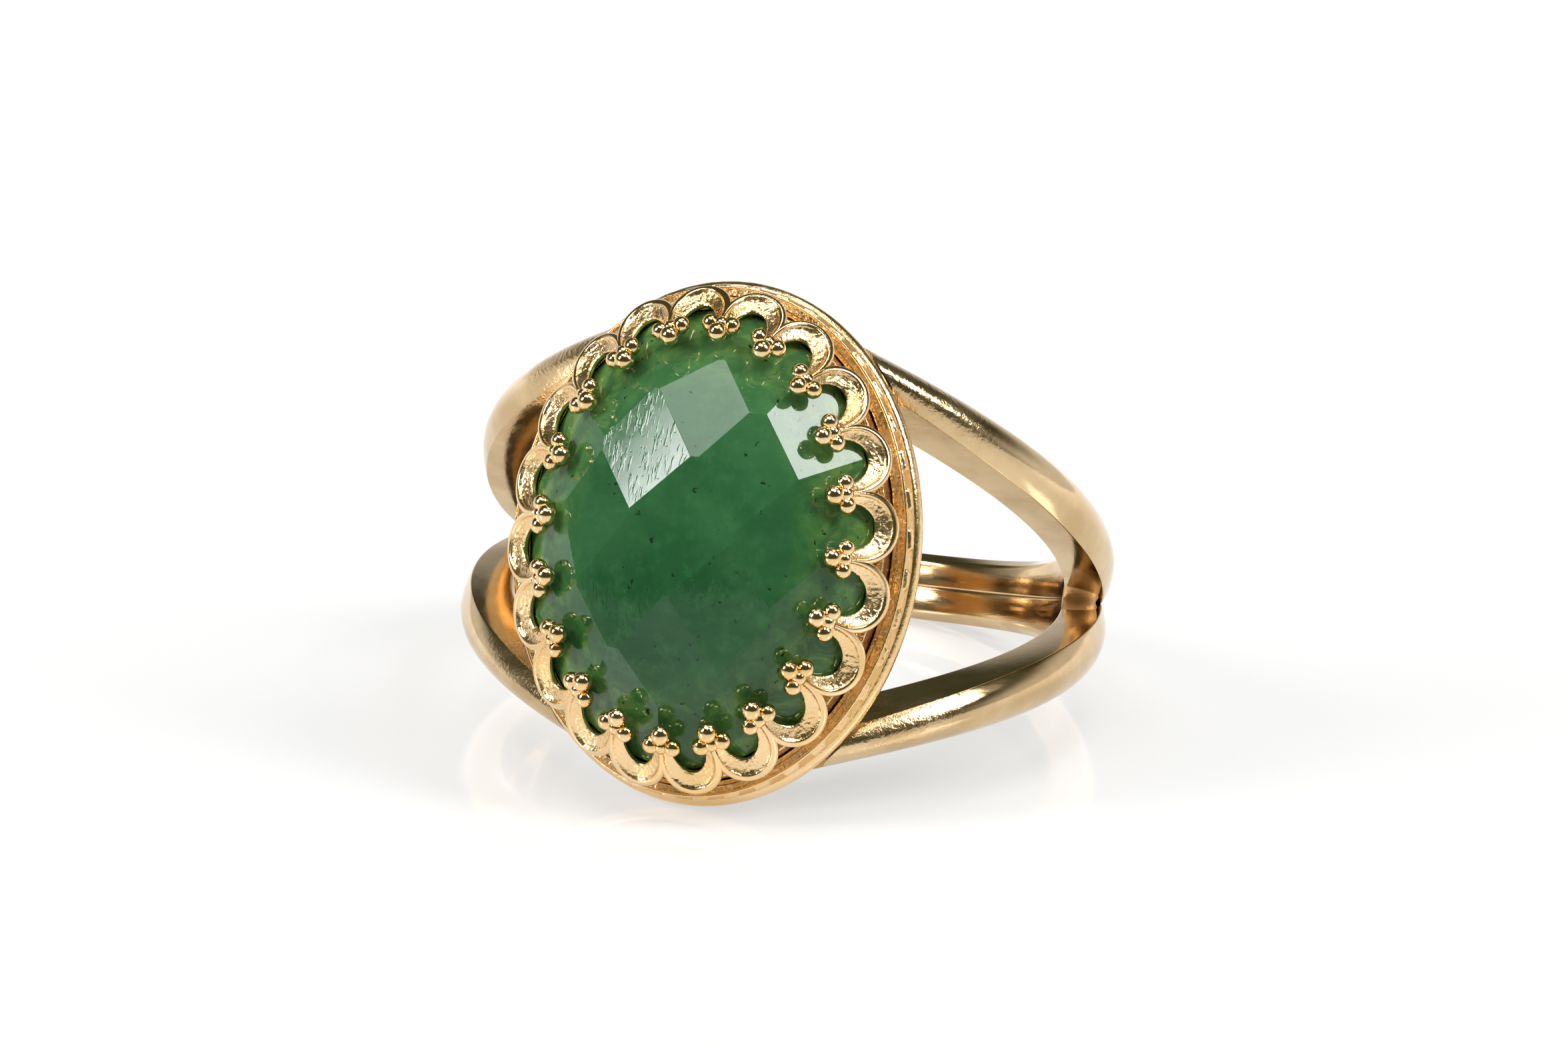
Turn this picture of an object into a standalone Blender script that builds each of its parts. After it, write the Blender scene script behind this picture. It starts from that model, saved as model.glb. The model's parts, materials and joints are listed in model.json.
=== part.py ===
"""Cocktail ring: an oval faceted stone in a scalloped gallery-strip crown on a split shank.

Units are metres, written as millimetres times MM.  Two local frames are used:
- the ring frame: origin at the centre of the finger hole, Z along the finger, -Y out of the face;
- the head frame: origin at the middle of the base plate's back, Z out of the face, Y along the finger.
The ring frame hangs on an empty that leans the ring back until it lies on a table, touching with the
lower edge of the head and the lower edge of the shank.
"""

import math

import bmesh
import bpy
import numpy as np
from mathutils import Vector

MM = 0.001

# Driving dimensions -------------------------------------------------------------------------------

CLEARANCE = 0.04 * MM            # between soldered neighbours

HEAD_TWIST = 1.8                 # degrees that the head was set askew on the shank
FINGER_RADIUS = 8.65 * MM        # inside of the shank
RIDGE_HEIGHT = 1.28 * MM         # from the inside of a wire to its side ridge
CREST_HEIGHT = 1.48 * MM         # from the inside of a wire to the crest of its dome
CREST_SHARE = 0.42               # of the way from the side ridge to the far side
SPRING_HEIGHT = 0.42 * MM        # where the dome begins on the far side
INSIDE_BEVEL = 0.22 * MM         # on the far edge of the inside
WIRE_WIDTH = 1.95 * MM           # along the arms
WIRE_WIDTH_BACK = 1.08 * MM      # at the back of the finger
BACK_TAPER_POWER = 4.0
CROTCH_ANGLE = 106.0             # degrees from the face, where the arms part
ARM_SPREAD = 5.76 * MM           # half gap between the arms, carried on to the face
ARM_SPREAD_POWER = 1.04
RIDGE_SPREAD = 7.21 * MM         # the same for the ridges, which stand wider apart
RIDGE_SPREAD_POWER = 1.19
ARM_START_ANGLE = 20.0           # degrees from the face, where an arm ends behind the plate
DOME_STEPS = 7                   # across the dome of a wire

STONE_HALF_WIDTH = 5.25 * MM
STONE_HALF_LENGTH = 6.85 * MM
STONE_DOME = 2.88 * MM           # girdle to top
DOME_POWER = 1.1                 # 1 is a paraboloid, more is fuller at the girdle
CUT_SHIFT_X = 0.12 * MM          # the middle of the cut lies a little beside
CUT_SHIFT_Y = 0.35 * MM          # and above the middle of the oval

SCALLOPS = 20
JOINT_SHIFT = -0.14              # of the top joint, in scallops
JOINT_DRIFT = -0.15              # the strip is drawn out and bunched up twice round, in scallops
TIP_REACH = 0.82 * MM            # how far a prong's tip lies inside the girdle
TIP_REACH_BELOW = 0.07 * MM      # more at the bottom and less at the top
STEM_CLIMB = 0.72                # where two arches meet under a prong, from 0 at the band to 1 at the tip
SIDE_BEAD_CLIMB = 0.79           # where the two side beads sit
SIDE_BEAD_SHIFT = 0.33 * MM      # from the prong's middle line
TIP_BEAD_RADIUS = 0.30 * MM
SIDE_BEAD_RADIUS = 0.27 * MM
STEM_RADIUS = 0.24 * MM

# Heights in the head frame, from the back of the base plate.
PLATE_BACK = 8.75 * MM           # distance of the plate's back from the finger's centre
PLATE_FLOOR = 0.60 * MM
LEDGE_HEIGHT = 1.30 * MM
BEARING_HEIGHT = 0.48 * MM
BAND_TOP = 2.15 * MM
GIRDLE_HEIGHT = 2.15 * MM

# Offsets outwards from the stone's girdle.
BAND_INSIDE = 0.05 * MM
BAND_OUTSIDE = 0.35 * MM
PLATE_OUTSIDE = 0.55 * MM
RIM_OUTSIDE = 1.09 * MM          # outermost line of the head

# Trim on the plate's wall: height of the middle, then half sizes out of the wall and up.
TOP_RAIL = (1.34 * MM, 0.13 * MM, 0.11 * MM)
ROPE = (0.985 * MM, 0.20 * MM, 0.14 * MM)
EDGE_RAIL = (0.41 * MM, 0.25 * MM, 0.32 * MM)

SOLDER_THICKNESS = 0.17 * MM

GOLD = (0.83, 0.58, 0.33)
SOLDER_GOLD = (0.80, 0.57, 0.35)
GREEN = (0.03, 0.19, 0.07)


# Scene and materials ------------------------------------------------------------------------------

def clear_scene():
    for item in list(bpy.data.objects):
        bpy.data.objects.remove(item, do_unlink=True)


def make_material(name, colour, roughness, metallic):
    material = bpy.data.materials.new(name)
    material.use_nodes = True
    shader = material.node_tree.nodes["Principled BSDF"]
    shader.inputs["Base Color"].default_value = (*colour, 1.0)
    shader.inputs["Roughness"].default_value = roughness
    shader.inputs["Metallic"].default_value = metallic
    return material


def add_object(name, bm, parent, material=None, crease_degrees=35.0):
    """Turns a bmesh into an object with outward faces, smooth except at creases."""
    bmesh.ops.recalc_face_normals(bm, faces=bm.faces[:])
    mesh = bpy.data.meshes.new(name)
    bm.to_mesh(mesh)
    bm.free()
    mesh.shade_smooth()
    mesh.set_sharp_from_angle(angle=math.radians(crease_degrees))
    obj = bpy.data.objects.new(name, mesh)
    bpy.context.scene.collection.objects.link(obj)
    obj.parent = parent
    if material is not None:
        mesh.materials.append(material)
    return obj


def make_guide(obj):
    """Marks an object as a shape that only cuts or joins others."""
    obj.hide_render = True
    obj.display_type = "WIRE"
    return obj


def add_empty(name, parent=None):
    empty = bpy.data.objects.new(name, None)
    bpy.context.scene.collection.objects.link(empty)
    empty.parent = parent
    return empty


def add_boolean(obj, operation, other):
    modifier = obj.modifiers.new(operation.lower(), "BOOLEAN")
    modifier.operation = operation
    modifier.solver = "EXACT"
    modifier.object = other


# Mesh building ------------------------------------------------------------------------------------

def skin_sections(sections, closed):
    """Joins equal rings of points into a tube: a closed loop of rings, or a capped run of them."""
    bm = bmesh.new()
    rings = [[bm.verts.new(point) for point in section] for section in sections]
    count = len(rings)
    size = len(rings[0])
    for i in range(count if closed else count - 1):
        here = rings[i]
        there = rings[(i + 1) % count]
        for j in range(size):
            k = (j + 1) % size
            bm.faces.new((here[j], here[k], there[k], there[j]))
    if not closed:
        bm.faces.new(rings[0])
        bm.faces.new(rings[-1])
    return bm


def oval_point(angle, offset, height):
    """A point on the girdle oval moved out by an offset, in the head frame."""
    x = (STONE_HALF_WIDTH + offset) * math.cos(angle)
    y = (STONE_HALF_LENGTH + offset) * math.sin(angle)
    return Vector((x, y, height))


def oval_outward(angle):
    """The outward direction of the oval's wall."""
    x = math.cos(angle) / STONE_HALF_WIDTH
    y = math.sin(angle) / STONE_HALF_LENGTH
    return Vector((x, y, 0.0)).normalized()


def oval_sweep(profile, steps):
    """Carries a closed (offset, height) profile round the oval."""
    sections = []
    for i in range(steps):
        angle = math.tau * i / steps
        sections.append([oval_point(angle, offset, height) for offset, height in profile])
    return skin_sections(sections, closed=True)


def oval_prism(offset, low, high, steps):
    """A solid oval slab."""
    angles = [math.tau * i / steps for i in range(steps)]
    sections = [[oval_point(angle, offset, height) for angle in angles] for height in (low, high)]
    return skin_sections(sections, closed=False)


def ellipse_profile(centre_offset, centre_height, half_width, half_height, points):
    profile = []
    for i in range(points):
        turn = math.tau * (i + 0.5) / points
        offset = centre_offset + half_width * math.cos(turn)
        height = centre_height + half_height * math.sin(turn)
        profile.append((offset, height))
    return profile


# Shank --------------------------------------------------------------------------------------------

def part_fraction(degrees):
    """1 at the face, 0 at the crotch and behind it."""
    from_face = min(degrees, 360.0 - degrees)
    return max(0.0, 1.0 - from_face / CROTCH_ANGLE)


def inner_edge(degrees):
    """Half gap between the two wires at the finger."""
    return CLEARANCE / 2 + ARM_SPREAD * part_fraction(degrees) ** ARM_SPREAD_POWER


def ridge_edge(degrees):
    """Half gap between the two wires at their ridges."""
    return CLEARANCE / 2 + RIDGE_SPREAD * part_fraction(degrees) ** RIDGE_SPREAD_POWER


def wire_width(degrees):
    """Full width on the arms, narrowing fast behind the crotch."""
    from_face = min(degrees, 360.0 - degrees)
    behind = max(0.0, (from_face - CROTCH_ANGLE) / (180.0 - CROTCH_ANGLE))
    return WIRE_WIDTH_BACK + (WIRE_WIDTH - WIRE_WIDTH_BACK) * (1.0 - behind) ** BACK_TAPER_POWER


def wire_section(degrees, side):
    """Section of one wire: flat inside and flat towards the other wire, domed outside.

    side is +1 for the upper wire and -1 for the lower one.
    """
    near = inner_edge(degrees)
    ridge = ridge_edge(degrees)
    far = near + wire_width(degrees)
    outline = [(0.0, near), (RIDGE_HEIGHT, ridge)]
    for step in range(1, DOME_STEPS + 1):
        share = step / DOME_STEPS
        across = ridge + (far - ridge) * share
        if share <= CREST_SHARE:
            rise = math.sin(math.pi / 2 * share / CREST_SHARE)
            height = RIDGE_HEIGHT + (CREST_HEIGHT - RIDGE_HEIGHT) * rise
        else:
            fall = (share - CREST_SHARE) / (1.0 - CREST_SHARE)
            height = SPRING_HEIGHT + (CREST_HEIGHT - SPRING_HEIGHT) * math.sqrt(max(0.0, 1.0 - fall * fall))
        outline.append((height, across))
    outline.append((0.0, far - INSIDE_BEVEL))

    angle = math.radians(degrees)
    outward = Vector((math.sin(angle), -math.cos(angle), 0.0))
    return [outward * (FINGER_RADIUS + height) + Vector((0.0, 0.0, side * across))
            for height, across in outline]


def shank_stations():
    """Degrees round the finger where the wires get a section."""
    start, crotch = ARM_START_ANGLE, CROTCH_ANGLE
    right_arm = np.linspace(start, crotch, 18)
    back = np.linspace(crotch, 360.0 - crotch, 24)
    left_arm = np.linspace(360.0 - crotch, 360.0 - start, 18)
    return [*right_arm, *back[1:-1], *left_arm]


def wire_bmesh(side):
    """A whole wire, before the head is cut out of its ends."""
    return skin_sections([wire_section(degrees, side) for degrees in shank_stations()], closed=False)


def build_shank_wire(name, side, ring, head_cutter, material):
    """One domed wire that runs from the head round the finger and back to the head."""
    wire = add_object(name, wire_bmesh(side), ring, material)
    add_boolean(wire, "DIFFERENCE", head_cutter)
    return wire


def build_head_cutter(ring, head):
    """What the head and its solder keep free of the arms."""
    reach = 6.0 * MM
    outside = RIM_OUTSIDE + CLEARANCE
    low = -(SOLDER_THICKNESS + 2 * CLEARANCE)
    cutter = add_object("head_cutter", oval_prism(outside, low, reach, 60), head)
    return make_guide(cutter)


def build_arm_solder(name, side, hand, head, ring, material):
    """The film of solder between the plate's back and the filed end of one arm.

    side is +1 for the upper wire and -1 for the lower one; hand is +1 towards +X and -1 towards -X.
    """
    inset = RIM_OUTSIDE - 0.12 * MM
    steps = 12
    quarter = math.pi / 2
    start = quarter * {(1, 1): 0, (1, -1): 1, (-1, -1): 2, (-1, 1): 3}[side, hand]
    angles = [start + quarter * i / steps for i in range(steps + 1)]
    sections = []
    for height in (-CLEARANCE - SOLDER_THICKNESS, -CLEARANCE):
        corner = Vector((0.0, 0.0, height))
        sections.append([corner] + [oval_point(angle, inset, height) for angle in angles])
    film = add_object(name, skin_sections(sections, closed=False), head, material)
    arm = make_guide(add_object(name + "_arm", wire_bmesh(side), ring))
    add_boolean(film, "INTERSECT", arm)
    return film


def build_crotch_solder(name, hand, ring, material):
    """The wedge of solder that fills the bottom of the V between two arms."""
    low = FINGER_RADIUS + CLEARANCE
    high = FINGER_RADIUS + RIDGE_HEIGHT - 0.25 * MM
    front = CROTCH_ANGLE - 7.0
    back = CROTCH_ANGLE - 1.6
    sections = []
    for degrees in np.linspace(front, back, 5):
        angle = math.radians(degrees) * hand
        outward = Vector((math.sin(angle), -math.cos(angle), 0.0))
        half_low = inner_edge(degrees) - CLEARANCE
        half_high = min(inner_edge(degrees), ridge_edge(degrees)) - CLEARANCE
        section = []
        for radius, across in ((low, -half_low), (high, -half_high), (high, half_high), (low, half_low)):
            section.append(outward * radius + Vector((0.0, 0.0, across)))
        sections.append(section)
    return add_object(name, skin_sections(sections, closed=False), ring, material)


# Head: base ---------------------------------------------------------------------------------------

def build_base_plate(head, material):
    """A shallow oval tray with a flat back; the crown stands inside its rim."""
    pocket = BAND_OUTSIDE + CLEARANCE
    bevel = 0.08 * MM
    outline = [
        (PLATE_OUTSIDE - bevel, 0.0),
        (PLATE_OUTSIDE, bevel),
        (PLATE_OUTSIDE, LEDGE_HEIGHT - bevel),
        (PLATE_OUTSIDE - bevel, LEDGE_HEIGHT),
        (pocket, LEDGE_HEIGHT),
        (pocket, PLATE_FLOOR),
    ]
    steps = 60
    bm = bmesh.new()
    rings = []
    for offset, height in outline:
        rings.append([bm.verts.new(oval_point(math.tau * i / steps, offset, height)) for i in range(steps)])
    for lower, upper in zip(rings, rings[1:]):
        for i in range(steps):
            j = (i + 1) % steps
            bm.faces.new((lower[i], lower[j], upper[j], upper[i]))
    bm.faces.new(rings[0])
    bm.faces.new(rings[-1])
    return add_object("base_plate", bm, head, material)


def build_bearing_ring(head, material):
    """The flat oval ring that lifts the stone off the plate inside the crown."""
    inside = -0.70 * MM
    outside = BAND_INSIDE - CLEARANCE - 0.04 * MM
    low = PLATE_FLOOR + CLEARANCE
    profile = [(inside, low), (outside, low), (outside, low + BEARING_HEIGHT), (inside, low + BEARING_HEIGHT)]
    return add_object("bearing_ring", oval_sweep(profile, 48), head, material)


def wall_offset(half_width):
    """Where the middle of a wire lies that runs round the plate's wall."""
    return PLATE_OUTSIDE + CLEARANCE + half_width


def build_plain_rail(name, sizes, head, material):
    """A smooth oval wire round the plate's wall."""
    height, half_width, half_height = sizes
    profile = ellipse_profile(wall_offset(half_width), height, half_width, half_height, 7)
    return add_object(name, oval_sweep(profile, 60), head, material)


def build_rope_wire(head, material):
    """A flattened wire twisted by half a turn for each dash, laid round the plate's wall."""
    height, long_radius, short_radius = ROPE
    dashes = 2 * SCALLOPS
    steps_per_dash = 4
    points = 6
    total = dashes * steps_per_dash
    sections = []
    for i in range(total):
        angle = math.tau * i / total
        twist = math.pi * i / steps_per_dash
        centre = oval_point(angle, wall_offset(long_radius), height)
        outward = oval_outward(angle)
        section = []
        for j in range(points):
            turn = math.tau * j / points + twist
            stretch = long_radius * math.cos(turn - twist)
            narrow = short_radius * math.sin(turn - twist)
            out = stretch * math.cos(twist) - narrow * math.sin(twist)
            up = stretch * math.sin(twist) + narrow * math.cos(twist)
            section.append(centre + outward * out + Vector((0.0, 0.0, up)))
        sections.append(section)
    return add_object("rope_wire", skin_sections(sections, closed=True), head, material)


# Head: crown --------------------------------------------------------------------------------------

def pitch_angles():
    """Oval angles that part the perimeter into equal scallops, with one joint at the top."""
    fine = 7200
    offset = BAND_OUTSIDE
    angles = np.linspace(math.pi / 2, math.pi / 2 + math.tau, fine + 1)
    x = (STONE_HALF_WIDTH + offset) * np.cos(angles)
    y = (STONE_HALF_LENGTH + offset) * np.sin(angles)
    length = np.concatenate([[0.0], np.cumsum(np.hypot(np.diff(x), np.diff(y)))])
    return angles, length / length[-1] * SCALLOPS


PITCH_ANGLES, PITCH_COUNTS = pitch_angles()


def crown_angle(along):
    """The oval angle at a place counted in scallops from the top joint, with the hand-made drift."""
    drift = JOINT_SHIFT + JOINT_DRIFT * math.sin(2 * math.tau * along / SCALLOPS)
    turns, place = divmod(along + drift, SCALLOPS)
    return float(np.interp(place, PITCH_COUNTS, PITCH_ANGLES)) + math.tau * turns


def tip_reach(along):
    """How far the tips lean in over the stone: they were pushed down by hand."""
    return TIP_REACH - TIP_REACH_BELOW * math.cos(math.tau * along / SCALLOPS)


def crown_point(along, climb):
    """A point on the leaning crown: climb runs from 0 on the band to 1 at a prong's tip."""
    foot = (0.40 * MM, 2.22 * MM)
    knee = (-0.12 * MM, 2.88 * MM)
    tip = (-tip_reach(along), 3.70 * MM)
    a = (1.0 - climb) ** 2
    b = 2.0 * climb * (1.0 - climb)
    c = climb * climb
    offset = a * foot[0] + b * knee[0] + c * tip[0]
    height = a * foot[1] + b * knee[1] + c * tip[1]
    return oval_point(crown_angle(along), offset, height)


def crown_frame(along, climb):
    """Directions on the crown: along the strip, up the strip, and out of it."""
    step = 0.01
    forward = (crown_point(along + step, climb) - crown_point(along - step, climb)).normalized()
    upward = (crown_point(along, climb + step) - crown_point(along, climb - step)).normalized()
    outward = upward.cross(forward).normalized()
    return forward, upward, outward


def arch_place(index, share):
    """Where an arch's middle line runs, from one prong's stem down to the band and up to the next."""
    turn = math.pi * share
    along = index + 0.5 - 0.45 * math.cos(turn)
    climb = STEM_CLIMB * (1.0 - math.sin(turn))
    return along, climb


def arch_bmesh(index):
    """One U-shaped scallop, thick at the band and thin at its two ends."""
    stations = 8
    points = 6
    sections = []
    for i in range(stations):
        share = i / (stations - 1)
        along, climb = arch_place(index, share)
        ahead = crown_point(*arch_place(index, share + 0.02))
        behind = crown_point(*arch_place(index, share - 0.02))
        tangent = (ahead - behind).normalized()
        outward = crown_frame(along, climb)[2]
        across = tangent.cross(outward).normalized()
        swell = math.sin(math.pi * share)
        wide = (0.18 + 0.16 * swell) * MM
        deep = (0.20 + 0.08 * swell) * MM
        centre = crown_point(along, climb)
        section = []
        for j in range(points):
            turn = math.tau * (j + 0.5) / points
            section.append(centre + across * (wide * math.cos(turn)) + outward * (deep * math.sin(turn)))
        sections.append(section)
    return skin_sections(sections, closed=False)


def ball_bmesh(centre, radius, rings):
    """A coarse ball: more rings make it rounder."""
    bm = bmesh.new()
    bmesh.ops.create_uvsphere(bm, u_segments=rings + 3, v_segments=rings, radius=radius)
    bmesh.ops.translate(bm, verts=bm.verts[:], vec=centre)
    return bm


def prong_balls(index):
    """Centre, radius and fineness of the three beads of a prong and of the stem under them."""
    side = crown_point(index, SIDE_BEAD_CLIMB)
    shift = crown_frame(index, SIDE_BEAD_CLIMB)[0] * SIDE_BEAD_SHIFT
    yield crown_point(index, 1.0), TIP_BEAD_RADIUS, 5
    yield side - shift, SIDE_BEAD_RADIUS, 4
    yield side + shift, SIDE_BEAD_RADIUS, 4
    yield side, STEM_RADIUS, 3


def build_gallery_strip(head, material):
    """The crown: a band with a row of scallops and three-bead prongs, stamped in one strip."""
    low = PLATE_FLOOR + CLEARANCE
    profile = [(BAND_INSIDE, low), (BAND_OUTSIDE, low), (BAND_OUTSIDE, BAND_TOP), (BAND_INSIDE, BAND_TOP)]
    strip = add_object("gallery_strip", oval_sweep(profile, 60), head, material)
    figures = bpy.data.collections.new("gallery_figures")
    bpy.context.scene.collection.children.link(figures)
    shapes = []
    for index in range(SCALLOPS):
        shapes.append(arch_bmesh(index))
        shapes.extend(ball_bmesh(*ball) for ball in prong_balls(index))
    for number, bm in enumerate(shapes):
        figure = make_guide(add_object("figure_%03d" % number, bm, head))
        bpy.context.scene.collection.objects.unlink(figure)
        figures.objects.link(figure)
    modifier = strip.modifiers.new("figures", "BOOLEAN")
    modifier.operation = "UNION"
    modifier.solver = "EXACT"
    modifier.operand_type = "COLLECTION"
    modifier.collection = figures
    return strip


# Stone --------------------------------------------------------------------------------------------

def facet_places():
    """Facet middles as (share of the way to the girdle, degrees round from +X).

    A lozenge in the middle, four facets on its sides, four at its corners and a ring of twelve.
    """
    places = [(0.0, 0.0)]
    places += [(0.42, 37.0 + 90.0 * k) for k in range(4)]
    places += [(0.56, 88.0 + 90.0 * k) for k in range(4)]
    places += [(0.85, 9.0 + 30.0 * k) for k in range(12)]
    return places


def dome_height(x, y):
    """Height of the smooth dome that the facets touch."""
    share = (x / STONE_HALF_WIDTH) ** 2 + (y / STONE_HALF_LENGTH) ** 2
    return GIRDLE_HEIGHT + STONE_DOME * (1.0 - share ** DOME_POWER)


def dome_normal(x, y):
    step = 0.01 * MM
    slope_x = (dome_height(x - step, y) - dome_height(x + step, y)) / (2 * step)
    slope_y = (dome_height(x, y - step) - dome_height(x, y + step)) / (2 * step)
    return Vector((slope_x, slope_y, 1.0)).normalized()


def build_stone(head, material):
    """A flat-backed oval block whose top is cut by planes that touch a smooth dome."""
    low = PLATE_FLOOR + BEARING_HEIGHT + 2 * CLEARANCE
    steps = 40
    bm = oval_prism(0.0, low, GIRDLE_HEIGHT + 2 * STONE_DOME, steps)
    for share, degrees in facet_places():
        turn = math.radians(degrees)
        x = STONE_HALF_WIDTH * share * math.cos(turn) + CUT_SHIFT_X * (1.0 - share)
        y = STONE_HALF_LENGTH * share * math.sin(turn) + CUT_SHIFT_Y * (1.0 - share)
        place = Vector((x, y, dome_height(x, y)))
        cut = bmesh.ops.bisect_plane(
            bm, geom=bm.verts[:] + bm.edges[:] + bm.faces[:], dist=1e-7,
            plane_co=place, plane_no=dome_normal(x, y), clear_outer=True)
        rim = [item for item in cut["geom_cut"] if isinstance(item, bmesh.types.BMEdge)]
        if rim:
            bmesh.ops.contextual_create(bm, geom=rim)
    return add_object("stone", bm, head, material, crease_degrees=3.0)


# Assembly -----------------------------------------------------------------------------------------

def rest_tilt():
    """How far the ring leans back, from the two lowest points that touch the table."""
    rim_back = 0.11 * MM
    rim_rounding = 0.08 * MM
    rim_y = -(PLATE_BACK + rim_back)
    rim_z = -(STONE_HALF_LENGTH + RIM_OUTSIDE - rim_rounding)
    band_y = FINGER_RADIUS + SPRING_HEIGHT
    band_z = -(CLEARANCE / 2 + WIRE_WIDTH_BACK)
    return math.atan2(band_z - rim_z, band_y - rim_y)


def world_bounds(objects):
    """Lowest and highest world corners of the finished solids."""
    bpy.context.view_layer.update()
    graph = bpy.context.evaluated_depsgraph_get()
    places = []
    for obj in objects:
        solid = obj.evaluated_get(graph)
        places.extend(obj.matrix_world @ vertex.co for vertex in solid.to_mesh().vertices)
        solid.to_mesh_clear()
    low = Vector([min(place[axis] for place in places) for axis in range(3)])
    high = Vector([max(place[axis] for place in places) for axis in range(3)])
    return low, high


def build_ring():
    """The whole ring in its resting pose."""
    clear_scene()
    gold = make_material("gold", GOLD, 0.22, 1.0)
    worn_gold = make_material("textured_gold", GOLD, 0.38, 1.0)
    solder = make_material("gold_solder", SOLDER_GOLD, 0.45, 1.0)
    green_stone = make_material("green_stone", GREEN, 0.12, 0.0)

    ring = add_empty("rest_pose")
    ring.rotation_euler.x = -rest_tilt()
    head = add_empty("head", ring)
    head.location.y = -PLATE_BACK
    head.rotation_euler = (math.pi / 2, math.radians(-HEAD_TWIST), 0.0)

    cutter = build_head_cutter(ring, head)
    parts = [
        build_stone(head, green_stone),
        build_bearing_ring(head, gold),
        build_gallery_strip(head, gold),
        build_base_plate(head, worn_gold),
        build_plain_rail("top_rail_wire", TOP_RAIL, head, gold),
        build_rope_wire(head, worn_gold),
        build_plain_rail("edge_rail_wire", EDGE_RAIL, head, gold),
        build_shank_wire("upper_shank_wire", 1, ring, cutter, gold),
        build_shank_wire("lower_shank_wire", -1, ring, cutter, gold),
        build_arm_solder("solder_upper_right", 1, 1, head, ring, solder),
        build_arm_solder("solder_upper_left", 1, -1, head, ring, solder),
        build_arm_solder("solder_lower_right", -1, 1, head, ring, solder),
        build_arm_solder("solder_lower_left", -1, -1, head, ring, solder),
        build_crotch_solder("solder_crotch_right", 1, ring, solder),
        build_crotch_solder("solder_crotch_left", -1, ring, solder),
    ]
    low, high = world_bounds(parts)
    ring.location.y = -(low.y + high.y) / 2
    ring.location.z = -low.z


build_ring()
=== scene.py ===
"""Looks of the cocktail ring: fine gold work, green faceted stone, pale glossy table, studio light."""

import json
import math
import random

import bmesh
import bpy
import numpy as np
from mathutils import Euler, Matrix, Vector, noise

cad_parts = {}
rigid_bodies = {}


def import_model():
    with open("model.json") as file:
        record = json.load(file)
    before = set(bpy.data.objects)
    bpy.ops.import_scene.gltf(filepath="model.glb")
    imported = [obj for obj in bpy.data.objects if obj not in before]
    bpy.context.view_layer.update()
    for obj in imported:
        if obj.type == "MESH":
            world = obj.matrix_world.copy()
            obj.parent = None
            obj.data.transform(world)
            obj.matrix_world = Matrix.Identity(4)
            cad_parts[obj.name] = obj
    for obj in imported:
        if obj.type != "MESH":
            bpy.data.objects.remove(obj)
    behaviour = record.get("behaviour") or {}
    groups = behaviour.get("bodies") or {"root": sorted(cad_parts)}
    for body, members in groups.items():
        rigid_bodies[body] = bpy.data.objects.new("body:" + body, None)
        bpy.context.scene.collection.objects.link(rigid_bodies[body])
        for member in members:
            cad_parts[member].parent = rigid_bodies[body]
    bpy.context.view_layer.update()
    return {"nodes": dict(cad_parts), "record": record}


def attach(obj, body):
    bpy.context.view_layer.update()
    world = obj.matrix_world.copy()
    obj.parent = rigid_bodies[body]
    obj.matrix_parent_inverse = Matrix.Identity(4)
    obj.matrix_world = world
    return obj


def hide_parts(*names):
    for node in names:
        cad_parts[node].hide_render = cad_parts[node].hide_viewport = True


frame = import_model()

MM = 0.001
SEED = 7
noise.seed_set(SEED)

# Driving dimensions, as in the CAD model ----------------------------------------------------------

CLEARANCE = 0.04 * MM
HEAD_TWIST = 1.8
FINGER_RADIUS = 8.65 * MM
RIDGE_HEIGHT = 1.28 * MM
CREST_HEIGHT = 1.48 * MM
CREST_SHARE = 0.42
SPRING_HEIGHT = 0.42 * MM
INSIDE_BEVEL = 0.22 * MM
WIRE_WIDTH = 1.95 * MM
WIRE_WIDTH_BACK = 1.08 * MM
BACK_TAPER_POWER = 4.0
CROTCH_ANGLE = 106.0
ARM_SPREAD = 5.76 * MM
ARM_SPREAD_POWER = 1.04
RIDGE_SPREAD = 7.21 * MM
RIDGE_SPREAD_POWER = 1.19
ARM_START_ANGLE = 20.0

STONE_HALF_WIDTH = 5.25 * MM
STONE_HALF_LENGTH = 6.85 * MM
STONE_DOME = 2.88 * MM
DOME_POWER = 1.1
CUT_SHIFT_X = 0.12 * MM
CUT_SHIFT_Y = 0.35 * MM

SCALLOPS = 20
JOINT_SHIFT = -0.14
JOINT_DRIFT = -0.15
TIP_REACH = 0.82 * MM
TIP_REACH_BELOW = 0.07 * MM
STEM_CLIMB = 0.72
SIDE_BEAD_CLIMB = 0.79
SIDE_BEAD_SHIFT = 0.33 * MM
TIP_BEAD_RADIUS = 0.30 * MM
SIDE_BEAD_RADIUS = 0.27 * MM
STEM_RADIUS = 0.24 * MM

PLATE_BACK = 8.75 * MM
PLATE_FLOOR = 0.60 * MM
LEDGE_HEIGHT = 1.30 * MM
BEARING_HEIGHT = 0.48 * MM
BAND_TOP = 2.15 * MM
GIRDLE_HEIGHT = 2.15 * MM
BAND_INSIDE = 0.05 * MM
BAND_OUTSIDE = 0.35 * MM
PLATE_OUTSIDE = 0.55 * MM
RIM_OUTSIDE = 1.09 * MM
SOLDER_THICKNESS = 0.17 * MM

TOP_RAIL_FOOT = 1.23 * MM
TRIM_INSIDE = PLATE_OUTSIDE + CLEARANCE / 4

# Height of the edge rail's middle, then its half sizes out of the wall and up.
EDGE_RAIL = (0.41 * MM, 0.25 * MM, 0.32 * MM)

# Fineness of the meshes, and the size of the grain that is cut into them ---------------------------

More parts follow.
